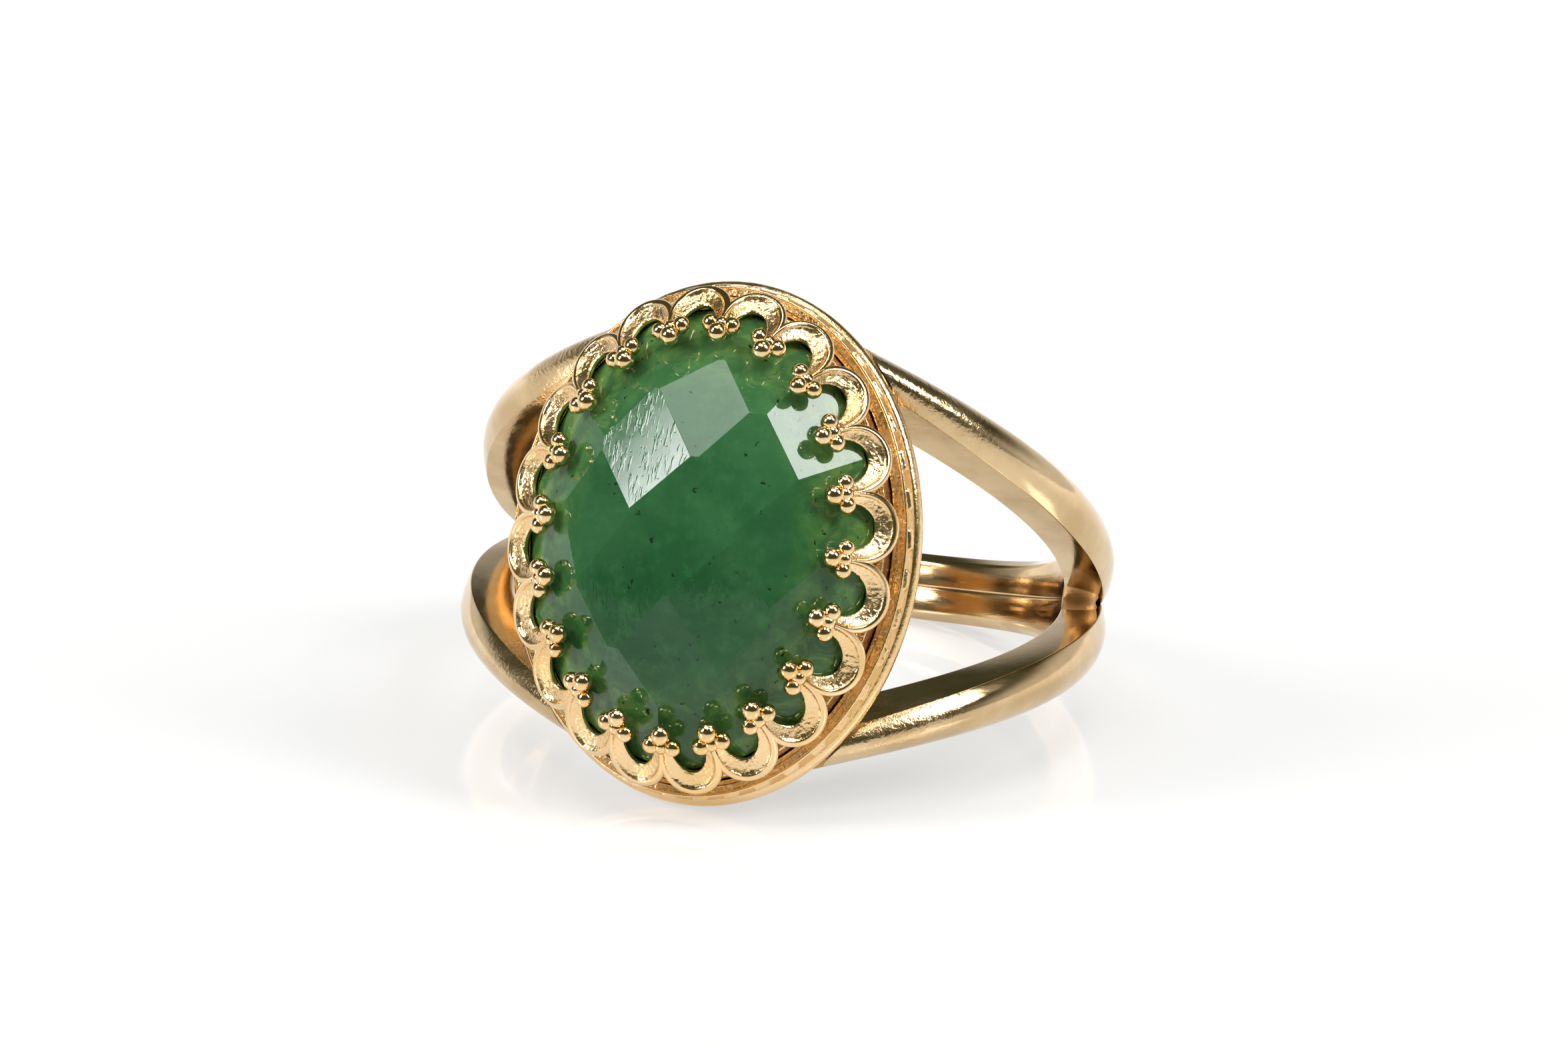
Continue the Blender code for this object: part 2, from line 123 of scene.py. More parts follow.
ROUND_STEPS = 360
WIRE_STEPS = 260
DOME_STEPS = 26
GRAIN_SIZE = 0.09 * MM

# Place of the second material on a piece that has two
SECOND = 1


# Frames -------------------------------------------------------------------------------------------

def mount(name):
    """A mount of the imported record, by its name."""
    return next(item for item in frame["record"]["mounts"] if item["name"] == name)


def ring_matrix():
    """Origin at the middle of the finger hole, Z along the finger, -Y out of the face."""
    along = Vector(mount("finger_hole")["axis"]).normalized()
    inward = Vector(mount("plate_back")["axis"]).normalized()
    turn = Matrix((inward.cross(along), inward, along)).transposed().to_4x4()
    return Matrix.Translation(Vector(mount("finger_hole")["pos_m"])) @ turn


RING = ring_matrix()
HEAD = (RING @ Matrix.Translation((0.0, -PLATE_BACK, 0.0))
        @ Euler((math.pi / 2, math.radians(-HEAD_TWIST), 0.0)).to_matrix().to_4x4())


# Camera -------------------------------------------------------------------------------------------

def add_camera():
    """A long lens in front of the ring, a little above it and to its right."""
    camera = bpy.data.cameras.new("camera")
    camera.sensor_width = 36.0
    camera.lens = 137.76
    camera.clip_start = 0.01
    camera.clip_end = 20.0
    holder = bpy.data.objects.new("camera", camera)
    bpy.context.scene.collection.objects.link(holder)
    holder.location = (0.04734, -0.17146, 0.06391)
    holder.rotation_euler = [math.radians(angle) for angle in (72.04, -2.21, 16.051)]
    bpy.context.scene.camera = holder


add_camera()


# Node helpers -------------------------------------------------------------------------------------

def add_node(tree, kind, inputs=None, **settings):
    """A node with its settings, and its inputs linked or set."""
    node = tree.nodes.new(kind)
    for key, value in settings.items():
        setattr(node, key, value)
    for key, value in (inputs or {}).items():
        if isinstance(value, bpy.types.NodeSocket):
            tree.links.new(value, node.inputs[key])
        else:
            node.inputs[key].default_value = value
    return node


def maths(tree, operation, *values):
    return add_node(tree, "ShaderNodeMath", dict(enumerate(values)), operation=operation).outputs[0]


def smooth_range(tree, value, low, high, to_low=0.0, to_high=1.0):
    inputs = {"Value": value, "From Min": low, "From Max": high, "To Min": to_low, "To Max": to_high}
    return add_node(tree, "ShaderNodeMapRange", inputs, interpolation_type="SMOOTHSTEP").outputs[0]


def mix_colour(tree, share, first, second):
    node = add_node(tree, "ShaderNodeMix", data_type="RGBA")
    for index, value in ((0, share), (6, first), (7, second)):
        if isinstance(value, bpy.types.NodeSocket):
            tree.links.new(value, node.inputs[index])
        else:
            node.inputs[index].default_value = value if index == 0 else (*value, 1.0)
    return node.outputs[2]


def noise_value(tree, place, scale, detail=4.0, roughness=0.55, distortion=0.0):
    inputs = {"Vector": place, "Scale": scale, "Detail": detail, "Roughness": roughness,
              "Distortion": distortion}
    return add_node(tree, "ShaderNodeTexNoise", inputs).outputs[0]


def stretched(tree, place, scale):
    """Coordinates scaled by a different amount each way."""
    return add_node(tree, "ShaderNodeVectorMath", {0: place, 1: scale}, operation="MULTIPLY").outputs[0]


def millimetres(tree, matrix):
    """Coordinates in millimetres in the ring's or the head's own frame."""
    place = add_node(tree, "ShaderNodeTexCoord").outputs["Object"]
    inputs = {"Vector": place, "Location": matrix.translation, "Rotation": matrix.to_euler(),
              "Scale": (MM, MM, MM)}
    return add_node(tree, "ShaderNodeMapping", inputs, vector_type="TEXTURE").outputs[0]


def round_finger(tree, place):
    """Millimetres round the finger, out from its middle, and along it."""
    split = add_node(tree, "ShaderNodeSeparateXYZ", {0: place}).outputs
    angle = maths(tree, "ARCTAN2", split[0], maths(tree, "MULTIPLY", split[1], -1.0))
    radius = maths(tree, "SQRT", maths(tree, "ADD", maths(tree, "MULTIPLY", split[0], split[0]),
                                       maths(tree, "MULTIPLY", split[1], split[1])))
    arc = maths(tree, "MULTIPLY", angle, 1000.0 * FINGER_RADIUS)
    return add_node(tree, "ShaderNodeCombineXYZ", {0: arc, 1: radius, 2: split[2]}).outputs[0]


def bump(tree, height, depth, below=None):
    """Adds a bump of a real depth in metres on top of another one."""
    inputs = {"Height": height, "Distance": depth, "Strength": 1.0}
    if below is not None:
        inputs["Normal"] = below
    return add_node(tree, "ShaderNodeBump", inputs).outputs[0]


def new_material(name):
    material = bpy.data.materials.new(name)
    material.use_nodes = True
    tree = material.node_tree
    return material, tree, tree.nodes["Principled BSDF"]


# Gold ---------------------------------------------------------------------------------------------

# Colours are linear. A cloudy noise mixes the two tones of each pair.
GOLD = (0.87, 0.625, 0.345)
DEEP_GOLD = (0.82, 0.555, 0.255)
# The sunk gold is darker and more orange than the gold: painted shade and warm bounce light in the sunk
# ground between the dashes.
SUNK_PAINTED_SHADE_GOLD = (0.74, 0.40, 0.13)
GOLD_TONES = (GOLD, DEEP_GOLD)
SUNK_PAINTED_SHADE_TONES = (SUNK_PAINTED_SHADE_GOLD, DEEP_GOLD)
# The satin tones are the gold made darker: painted shade on the arms. Their brushed marks and root grain are
# real.
SATIN_PAINTED_SHADE_TONES = ((0.71, 0.528, 0.302), (0.58, 0.408, 0.212))
# The solder tones are lighter than the gold: painted light that lifts the shade on the crotch fillets, which
# face into the ring.
SOLDER_PAINTED_LIGHT_TONES = ((0.95, 0.76, 0.52), (0.90, 0.68, 0.42))

# Scale of the satin's marks round the finger, out and along it: they are drawn out round the finger.
BRUSHED = (0.12, 1.0, 1.0)

# On the ring's Y axis in millimetres, with the face at -Y: where the arms' grain is full, and where it ends.
ROOT_FULL = -7.0
ROOT_END = -5.8


def gold_material(name, matrix, roughness, spread, scratch_depth, grain_depth, grain_scale,
                  tones=GOLD_TONES, brushed=False):
    """Rose-yellow gold: cloudy tone, uneven polish, fine scratches and cast grain.

    Brushed gold has its marks laid round the finger, and its grain only near the head.
    """
    material, tree, shader = new_material(name)
    place = millimetres(tree, matrix)
    lay = place
    if brushed:
        lay = stretched(tree, round_finger(tree, place), BRUSHED)
    cloud = smooth_range(tree, noise_value(tree, place, 0.5), 0.35, 0.65)
    colour = mix_colour(tree, cloud, *tones)
    polish = noise_value(tree, lay, 2.5, 6.0, 0.65)
    rough = smooth_range(tree, polish, 0.3, 0.7, roughness - spread, roughness + spread)
    scratches = noise_value(tree, lay, 9.0, 3.0, 0.7)
    normal = bump(tree, scratches, scratch_depth)
    grain = noise_value(tree, place, grain_scale, 2.0, 0.6)
    if brushed:
        split = add_node(tree, "ShaderNodeSeparateXYZ", {0: place}).outputs
        ragged = maths(tree, "ADD", split[1], noise_value(tree, place, 0.8))
        root = smooth_range(tree, ragged, ROOT_FULL, ROOT_END, 1.0, 0.0)
        grain = maths(tree, "MULTIPLY", grain, root)
        rough = maths(tree, "ADD", rough, maths(tree, "MULTIPLY", root, 0.10))
    normal = bump(tree, grain, grain_depth, below=normal)
    tree.links.new(colour, shader.inputs["Base Color"])
    tree.links.new(rough, shader.inputs["Roughness"])
    tree.links.new(normal, shader.inputs["Normal"])
    shader.inputs["Metallic"].default_value = 1.0
    return material


POLISHED = gold_material("polished_gold", HEAD, roughness=0.10, spread=0.035, scratch_depth=0.004 * MM,
                         grain_depth=0.002 * MM, grain_scale=5.0)
# Satin gold of the arms: a real brushed finish, with darker tones that are painted shade.
SATIN_WITH_PAINTED_SHADE = gold_material("satin_gold_painted_shade", RING, roughness=0.12, spread=0.05, scratch_depth=0.002 * MM,
                      grain_depth=0.022 * MM, grain_scale=7.0, tones=SATIN_PAINTED_SHADE_TONES, brushed=True)
GRANULAR = gold_material("granular_gold", HEAD, roughness=0.24, spread=0.07, scratch_depth=0.008 * MM,
                         grain_depth=0.034 * MM, grain_scale=7.0)
CAST = gold_material("cast_gold", HEAD, roughness=0.30, spread=0.08, scratch_depth=0.008 * MM,
                     grain_depth=0.040 * MM, grain_scale=7.0)
TRIM = gold_material("trim_gold", HEAD, roughness=0.20, spread=0.06, scratch_depth=0.008 * MM,
                     grain_depth=0.015 * MM, grain_scale=6.0)
# Sunk gold: a real rough, unpolished ground, with a darker, more orange tone that is painted shade.
SUNK_WITH_PAINTED_SHADE = gold_material("sunk_gold_painted_shade", HEAD, roughness=0.38, spread=0.08, scratch_depth=0.008 * MM,
                     grain_depth=0.030 * MM, grain_scale=7.0, tones=SUNK_PAINTED_SHADE_TONES)
# Solder gold: a real rough solder finish, with its lighter tones as painted light.
SOLDER_WITH_PAINTED_LIGHT = gold_material("solder_gold_painted_light", RING, roughness=0.40, spread=0.08, scratch_depth=0.006 * MM,
                       grain_depth=0.030 * MM, grain_scale=5.0, tones=SOLDER_PAINTED_LIGHT_TONES)


# Stone --------------------------------------------------------------------------------------------

STONE_DEEP = (0.004, 0.056, 0.014)
STONE_PALE = (0.033, 0.122, 0.044)
STONE_MILK = (0.056, 0.190, 0.066)
STONE_VEIN = (0.160, 0.300, 0.070)
STONE_SPECK = (0.010, 0.016, 0.008)
PIT_DEPTH = 0.0015 * MM
STROKE_DEPTH = 0.0005 * MM
WAVE_DEPTH = 0.0015 * MM


def stone_material():
    """Milky green stone, deeper below: paler veins at the girdle, dark specks, pitted polish."""
    material, tree, shader = new_material("green_aventurine")
    place = millimetres(tree, HEAD)
    cloud = smooth_range(tree, noise_value(tree, place, 0.28, 5.0, 0.6, 0.6), 0.36, 0.64)
    split = add_node(tree, "ShaderNodeSeparateXYZ", {0: place}).outputs
    across = maths(tree, "DIVIDE", split[0], 1000.0 * STONE_HALF_WIDTH)
    along = maths(tree, "DIVIDE", split[1], 1000.0 * STONE_HALF_LENGTH)
    upper = smooth_range(tree, along, -0.75, 0.30, 0.0, 0.6)
    paler = maths(tree, "ADD", upper, maths(tree, "MULTIPLY", cloud, 0.4))
    colour = mix_colour(tree, paler, STONE_DEEP, STONE_PALE)
    fine = smooth_range(tree, noise_value(tree, place, 1.6, 6.0, 0.7), 0.45, 0.75)
    colour = mix_colour(tree, maths(tree, "MULTIPLY", fine, 0.35), colour, STONE_MILK)

    share = maths(tree, "SQRT", maths(tree, "ADD", maths(tree, "MULTIPLY", across, across),
                                      maths(tree, "MULTIPLY", along, along)))
    rim = smooth_range(tree, share, 0.55, 1.0)
    veins = smooth_range(tree, noise_value(tree, place, 0.9, 6.0, 0.65, 1.2), 0.42, 0.70)
    pale = maths(tree, "MULTIPLY", rim, maths(tree, "ADD", maths(tree, "MULTIPLY", veins, 0.75), 0.20))
    colour = mix_colour(tree, pale, colour, STONE_VEIN)

    wobble = noise_value(tree, place, 1.1)
    ragged = add_node(tree, "ShaderNodeTexNoise", {"Vector": place, "Scale": 6.0}).outputs["Color"]
    shifted = add_node(tree, "ShaderNodeVectorMath", {0: ragged, 1: (0.35, 0.35, 0.35), 2: place},
                       operation="MULTIPLY_ADD").outputs[0]
    specks = add_node(tree, "ShaderNodeTexVoronoi", {"Vector": shifted, "Scale": 2.1}).outputs
    chosen = maths(tree, "GREATER_THAN", wobble, 0.46)
    speck = maths(tree, "MULTIPLY", smooth_range(tree, specks[0], 0.08, 0.15, 1.0, 0.0), chosen)
    colour = mix_colour(tree, speck, colour, STONE_SPECK)

    pits = add_node(tree, "ShaderNodeTexVoronoi", {"Vector": place, "Scale": 4.3}).outputs[0]
    pit = smooth_range(tree, pits, 0.06, 0.16)
    normal = bump(tree, pit, PIT_DEPTH)
    strokes = noise_value(tree, stretched(tree, place, (1.0, 0.16, 0.3)), 8.0, 2.0)
    normal = bump(tree, smooth_range(tree, strokes, 0.52, 0.66), STROKE_DEPTH, below=normal)
    normal = bump(tree, noise_value(tree, place, 0.35, 2.0), WAVE_DEPTH, below=normal)
    tree.links.new(colour, shader.inputs["Base Color"])
    tree.links.new(normal, shader.inputs["Normal"])
    rough = smooth_range(tree, noise_value(tree, place, 3.0, 5.0, 0.7), 0.3, 0.7, 0.015, 0.055)
    tree.links.new(rough, shader.inputs["Roughness"])
    shader.inputs["IOR"].default_value = 1.43
    shader.inputs["Subsurface Weight"].default_value = 0.25
    shader.inputs["Subsurface Radius"].default_value = (0.25, 1.0, 0.35)
    shader.inputs["Subsurface Scale"].default_value = 0.9 * MM
    return material


STONE = stone_material()


# Mesh building ------------------------------------------------------------------------------------

def add_piece(name, bm, matrix, materials, crease_degrees=35.0):
    """Turns a bmesh made in one of the two frames into a smooth-shaded object."""
    bmesh.ops.recalc_face_normals(bm, faces=bm.faces[:])
    mesh = bpy.data.meshes.new(name)
    bm.to_mesh(mesh)
    bm.free()
    mesh.transform(matrix)
    mesh.shade_smooth()
    mesh.set_sharp_from_angle(angle=math.radians(crease_degrees))
    for material in materials:
        mesh.materials.append(material)
    obj = bpy.data.objects.new(name, mesh)
    bpy.context.scene.collection.objects.link(obj)
    return obj


def finish_piece(obj, nodes):
    """Puts a piece on the root body and hides the CAD nodes that it stands for."""
    bpy.context.view_layer.update()
    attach(obj, "root")
    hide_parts(*nodes)


def apply_modifiers(obj, crease_degrees):
    """Makes the modifiers' result the object's own mesh."""
    graph = bpy.context.evaluated_depsgraph_get()
    mesh = bpy.data.meshes.new_from_object(obj.evaluated_get(graph))
    mesh.name = obj.name
    obj.modifiers.clear()
    obj.data = mesh
    mesh.shade_smooth()
    mesh.set_sharp_from_angle(angle=math.radians(crease_degrees))


def skin_sections(sections, closed):
    """Joins equal rings of points into a tube: a closed loop of rings, or a capped run of them."""
    bm = bmesh.new()
    rings = [[bm.verts.new(point) for point in section] for section in sections]
    count = len(rings)
    size = len(rings[0])
    for i in range(count if closed else count - 1):
        here = rings[i]
        there = rings[(i + 1) % count]
        for j in range(size):
            k = (j + 1) % size
            bm.faces.new((here[j], here[k], there[k], there[j]))
    if not closed:
        bm.faces.new(rings[0])
        bm.faces.new(rings[-1])
    return bm


def oval_point(angle, offset, height):
    """A point of the head: angle round the stone's oval, offset out of it, height above the plate's back."""
    x = (STONE_HALF_WIDTH + offset) * math.cos(angle)
    y = (STONE_HALF_LENGTH + offset) * math.sin(angle)
    return Vector((x, y, height))


def oval_outward(angle):
    x = math.cos(angle) / STONE_HALF_WIDTH
    y = math.sin(angle) / STONE_HALF_LENGTH
    return Vector((x, y, 0.0)).normalized()


def oval_sections(profile, steps):
    """A closed (offset, height) profile at every step round the oval."""
    angles = [math.tau * i / steps for i in range(steps)]
    return [[oval_point(angle, offset, height) for offset, height in profile] for angle in angles]


def soft_corner(before, corner, after, radius, steps=4):
    """Points that round one corner of a section."""
    before, corner, after = Vector(before), Vector(corner), Vector(after)
    start = corner + (before - corner).normalized() * min(radius, (before - corner).length * 0.45)
    end = corner + (after - corner).normalized() * min(radius, (after - corner).length * 0.45)
    shares = [step / steps for step in range(steps + 1)]
    return [tuple(start * (1 - t) ** 2 + corner * (2 * t * (1 - t)) + end * t ** 2) for t in shares]


def rounded(corners, radius, steps=4):
    """A closed polygon with every corner rounded off."""
    points = []
    for i, corner in enumerate(corners):
        after = corners[(i + 1) % len(corners)]
        points += soft_corner(corners[i - 1], corner, after, radius, steps)
    return points


def subdivided(points, spacing):
    """A closed outline with no step longer than the spacing."""
    result = []
    for i, point in enumerate(points):
        here = Vector(point)
        there = Vector(points[(i + 1) % len(points)])
        parts = max(1, math.ceil((there - here).length / spacing))
        result.extend(tuple(here.lerp(there, k / parts)) for k in range(parts))
    return result


# Shank --------------------------------------------------------------------------------------------

def part_fraction(degrees):
    """1 at the face, falling to 0 at the crotch and staying 0 behind it."""
    from_face = min(degrees, 360.0 - degrees)
    return max(0.0, 1.0 - from_face / CROTCH_ANGLE)


def inner_edge(degrees):
    """How far the near edge of a wire is from the middle of the band."""
    return ARM_SPREAD * part_fraction(degrees) ** ARM_SPREAD_POWER


def ridge_edge(degrees):
    """How far the ridge on top of a wire's near side is from the middle of the band."""
    return RIDGE_SPREAD * part_fraction(degrees) ** RIDGE_SPREAD_POWER


def wire_width(degrees):
    """Full width from the face to the crotch, then a taper to the back."""
    from_face = min(degrees, 360.0 - degrees)
    behind = max(0.0, (from_face - CROTCH_ANGLE) / (180.0 - CROTCH_ANGLE))
    return WIRE_WIDTH_BACK + (WIRE_WIDTH - WIRE_WIDTH_BACK) * (1.0 - behind) ** BACK_TAPER_POWER


def wire_outline(degrees):
    """(height, across) outline of one wire, its edges slightly rounded."""
    near = inner_edge(degrees)
    ridge = ridge_edge(degrees)
    far = near + wire_width(degrees)
    dome = []
    for step in range(1, DOME_STEPS + 1):
        share = step / DOME_STEPS
        across = ridge + (far - ridge) * share
        if share <= CREST_SHARE:
            rise = math.sin(math.pi / 2 * share / CREST_SHARE)
            height = RIDGE_HEIGHT + (CREST_HEIGHT - RIDGE_HEIGHT) * rise
        else:
            fall = (share - CREST_SHARE) / (1.0 - CREST_SHARE)
            rise = math.sqrt(max(0.0, 1.0 - fall * fall))
            height = SPRING_HEIGHT + (CREST_HEIGHT - SPRING_HEIGHT) * rise
        dome.append((height, across))
    inside_near = (0.0, near)
    ridge_point = (RIDGE_HEIGHT, ridge)
    inside_far = (0.0, far - INSIDE_BEVEL)
    outline = soft_corner(inside_far, inside_near, ridge_point, 0.07 * MM)
    outline += soft_corner(inside_near, ridge_point, dome[0], 0.05 * MM)
    outline += dome[1:]
    outline += soft_corner(dome[-1], inside_far, inside_near, 0.12 * MM)
    return outline


def wire_bmesh(side):
    """A wire that runs from behind the plate round the finger and back."""
    sections = []
    for degrees in np.linspace(ARM_START_ANGLE, 360.0 - ARM_START_ANGLE, WIRE_STEPS):
        angle = math.radians(degrees)
        outward = Vector((math.sin(angle), -math.cos(angle), 0.0))
        section = []
        for height, across in wire_outline(degrees):
            point = outward * (FINGER_RADIUS + height) + Vector((0.0, 0.0, side * across))
            section.append(point)
        sections.append(section)
    return skin_sections(sections, closed=False)


CROTCH_STEPS = 12

# Degrees towards the face: the fillet's front in the middle of the V, and how much further it is at the arms.
CROTCH_FRONT = 2.6
CROTCH_RUN_OUT = 5.5


def crotch_section(share, hand):
    """Section of the fillet at a share of the V's half width: a hollow front, a rounded shoulder."""
    run_out = share * share
    front = CROTCH_ANGLE - CROTCH_FRONT - CROTCH_RUN_OUT * run_out
    behind = CROTCH_ANGLE + 1.0
    low = FINGER_RADIUS + CLEARANCE / 2
    sunk = (0.22 - 0.10 * run_out) * MM
    high = FINGER_RADIUS + RIDGE_HEIGHT - sunk
    outline = [
        (front, low), (front - 0.4, low + (high - low) * 0.3), (front - 0.3, low + (high - low) * 0.7),
        (front + 0.5, high - 0.03 * MM), (front + 1.2, high), (behind, high), (behind, low),
    ]
    section = []
    for degrees, radius in outline:
        angle = math.radians(degrees) * hand
        half = inner_edge(degrees) + CLEARANCE / 2
        outward = Vector((math.sin(angle), -math.cos(angle), 0.0))
        section.append(outward * radius + Vector((0.0, 0.0, share * half)))
    return section


def build_crotch(name, node, hand):
    """The fillet of solder in the bottom of the V: deep in the middle, running out up both arms."""
    shares = [2.0 * step / CROTCH_STEPS - 1.0 for step in range(CROTCH_STEPS + 1)]
    sections = [crotch_section(share, hand) for share in shares]
    # The fillet takes the solder gold, made lighter as painted light against the shade in the V.
    fillet = add_piece(name, skin_sections(sections, closed=False), RING, [SOLDER_WITH_PAINTED_LIGHT], 60.0)
    finish_piece(fillet, [node])


def head_cutter():
    """The room that the arms leave for the head and its solder."""
    outside = RIM_OUTSIDE + CLEARANCE
    low = -(SOLDER_THICKNESS + 2 * CLEARANCE)
    high = 6.0 * MM
    steps = 200
    angles = [math.tau * i / steps for i in range(steps)]
    sections = [[oval_point(angle, outside, height) for angle in angles] for height in (low, high)]
    return add_piece("head_cutter", skin_sections(sections, closed=False), HEAD, [SATIN_WITH_PAINTED_SHADE])


def build_shank():
    """Both wires, each cut back where the head is."""
    cutter = head_cutter()
    for name, side in (("upper_shank", 1), ("lower_shank", -1)):
        wire = add_piece(name, wire_bmesh(side), RING, [SATIN_WITH_PAINTED_SHADE])
        modifier = wire.modifiers.new("head", "BOOLEAN")
        modifier.operation = "DIFFERENCE"
        modifier.solver = "EXACT"
        modifier.object = cutter
        bpy.context.view_layer.update()
        apply_modifiers(wire, 30.0)
        finish_piece(wire, [name + "_wire"])
    bpy.data.objects.remove(cutter, do_unlink=True)


# Head: base and trim ------------------------------------------------------------------------------

def build_tray():
    """The shallow oval tray with a cast, grainy ledge."""
    pocket = BAND_OUTSIDE + CLEARANCE
    inside = -2.2 * MM
    grain = 0.020 * MM
    corners = [
        (inside, 0.0), (PLATE_OUTSIDE, 0.0), (PLATE_OUTSIDE, LEDGE_HEIGHT), (pocket, LEDGE_HEIGHT),
        (pocket, PLATE_FLOOR), (inside, PLATE_FLOOR),
    ]
    outline = subdivided(rounded(corners, 0.07 * MM), 0.07 * MM)
    rings = [(offset, height) for offset, height in outline if offset > inside + 0.01 * MM]
    start = min(range(len(rings)), key=lambda i: (rings[i][1] > 0.01 * MM, rings[i][0]))
    rings = rings[start:] + rings[:start]
    sections = []
    for offset, height in rings:
        section = [oval_point(math.tau * i / ROUND_STEPS, offset, height) for i in range(ROUND_STEPS)]
        if height > PLATE_FLOOR:
            for point in section:
                point.z += noise.noise(point / GRAIN_SIZE) * grain
        sections.append(section)
    tray = add_piece("plate_tray", skin_sections(sections, closed=False), HEAD, [CAST], 45.0)
    finish_piece(tray, ["base_plate"])


def ellipse_profile(centre_offset, centre_height, half_width, half_height, points):
    turns = [math.tau * (i + 0.5) / points for i in range(points)]
    return [(centre_offset + half_width * math.cos(turn), centre_height + half_height * math.sin(turn))
            for turn in turns]


def build_top_rail():
    """A flat grainy shelf that carries the ledge on, with a thin polished bead on its outer edge."""
    shelf = LEDGE_HEIGHT + 0.07 * MM
    shelf_points = 5
    shelf_grain = 0.022 * MM
    bead_offset = PLATE_OUTSIDE + 0.25 * MM
    bead_radius = 0.050 * MM
    bead_turns = [math.radians(160.0 - 28.0 * k) for k in range(10)]
    width = bead_offset - TRIM_INSIDE
    profile = [(TRIM_INSIDE + width * k / shelf_points, shelf) for k in range(shelf_points)]
    profile += [(bead_offset + bead_radius * math.cos(turn), shelf + bead_radius * math.sin(turn))
                for turn in bead_turns]
    profile += [(bead_offset - 0.06 * MM, TOP_RAIL_FOOT), (TRIM_INSIDE, TOP_RAIL_FOOT)]
    sections = oval_sections(profile, 2 * ROUND_STEPS)
    for section in sections:
        for point in section[:shelf_points]:
            point.z += noise.noise(point / GRAIN_SIZE) * shelf_grain
    bm = skin_sections(sections, closed=True)
    for number, face in enumerate(bm.faces):
        if number % len(profile) < shelf_points:
            face.material_index = SECOND
    rail = add_piece("top_rail", bm, HEAD, [TRIM, CAST], 50.0)
    finish_piece(rail, ["top_rail_wire"])


def build_edge_rail():
    """The plain rail at the foot of the wall, drawn a little unevenly."""
    height, half_width, half_height = EDGE_RAIL
    offset = PLATE_OUTSIDE + CLEARANCE + half_width
    profile = ellipse_profile(offset, height, half_width, half_height, 26)
    wave = 0.006 * MM
    wave_size = 0.4 * MM
    sections = oval_sections(profile, ROUND_STEPS)
    for section in sections:
        for point in section:
            point += noise.noise_vector(point / wave_size) * wave
    rail = add_piece("edge_rail", skin_sections(sections, closed=True), HEAD, [TRIM], 60.0)
    finish_piece(rail, ["edge_rail_wire"])


DASHES = 2 * SCALLOPS
DASH_STEPS = 24
DASH_POINTS = 30
DASH_RISE = 0.09 * MM
DASH_SLANT = 0.07 * MM

# Half of a dash and the slope at its edge: along the band in shares of the pitch, across it in metres.
DASH_HALF_LENGTH = 0.27
DASH_END = 0.05
DASH_HALF_WIDTH = 0.13 * MM
DASH_SIDE = 0.05 * MM

DASH_LOW = EDGE_RAIL[0] + 0.22 * MM
DASH_HIGH = LEDGE_HEIGHT + 0.02 * MM
DASH_MIDDLE = DASH_LOW + (DASH_HIGH - DASH_LOW) * 0.58


def eased(value):
    """Runs smoothly from 0 to 1, and stays there outside."""
    value = min(1.0, max(0.0, value))
    return value * value * (3 - 2 * value)


def dash_share(step):
    """Place along one dash's pitch, from -0.5 to 0.5 with the dash's middle at 0."""
    return (step % DASH_STEPS) / DASH_STEPS - 0.5


def dash_across(share, height):
    """Distance from the slanted middle line of a dash."""
    return abs(height - DASH_MIDDLE - 2 * DASH_SLANT * share)


def build_dashes():
    """The sunk band between the rails, with its row of raised slanted dashes."""
    ground_high = PLATE_OUTSIDE + 0.22 * MM
    ground_low = PLATE_OUTSIDE + 0.38 * MM
    grain = 0.008 * MM
    sections = []
    for i in range(DASHES * DASH_STEPS):
        angle = math.tau * i / (DASHES * DASH_STEPS)
        share = dash_share(i)
        end = eased((DASH_HALF_LENGTH - abs(share)) / DASH_END)
        section = []
        for j in range(DASH_POINTS):
            climb = j / (DASH_POINTS - 1)
            height = DASH_LOW + (DASH_HIGH - DASH_LOW) * climb
            side = eased((DASH_HALF_WIDTH - dash_across(share, height)) / DASH_SIDE)
            ground = ground_low + (ground_high - ground_low) * climb
            point = oval_point(angle, ground + DASH_RISE * end * side, height)
            section.append(point + oval_outward(angle) * (noise.noise(point / GRAIN_SIZE) * grain))
        section.append(oval_point(angle, TRIM_INSIDE, DASH_HIGH))
        section.append(oval_point(angle, TRIM_INSIDE, DASH_LOW))
        sections.append(section)
    bm = skin_sections(sections, closed=True)
    size = len(sections[0])
    for number, face in enumerate(bm.faces):
        share = dash_share(number // size)
        height = DASH_LOW + (DASH_HIGH - DASH_LOW) * (number % size + 0.5) / (DASH_POINTS - 1)
        if abs(share) > DASH_HALF_LENGTH or dash_across(share, height) > DASH_HALF_WIDTH:
            face.material_index = SECOND
    # Faces off the dashes take the sunk gold, whose darker, more orange tone is painted shade in the recess.
    band = add_piece("dash_band", bm, HEAD, [TRIM, SUNK_WITH_PAINTED_SHADE], 50.0)
    finish_piece(band, ["rope_wire"])


# Head: crown --------------------------------------------------------------------------------------

def pitch_angles():
    """Oval angles that part the perimeter into equal scallops, with one joint at the top."""
    samples = 7201
    angles = np.linspace(math.pi / 2, math.pi / 2 + math.tau, samples)
    x = (STONE_HALF_WIDTH + BAND_OUTSIDE) * np.cos(angles)
    y = (STONE_HALF_LENGTH + BAND_OUTSIDE) * np.sin(angles)
    length = np.concatenate([[0.0], np.cumsum(np.hypot(np.diff(x), np.diff(y)))])
    return angles, length / length[-1] * SCALLOPS


PITCH_ANGLES, PITCH_COUNTS = pitch_angles()


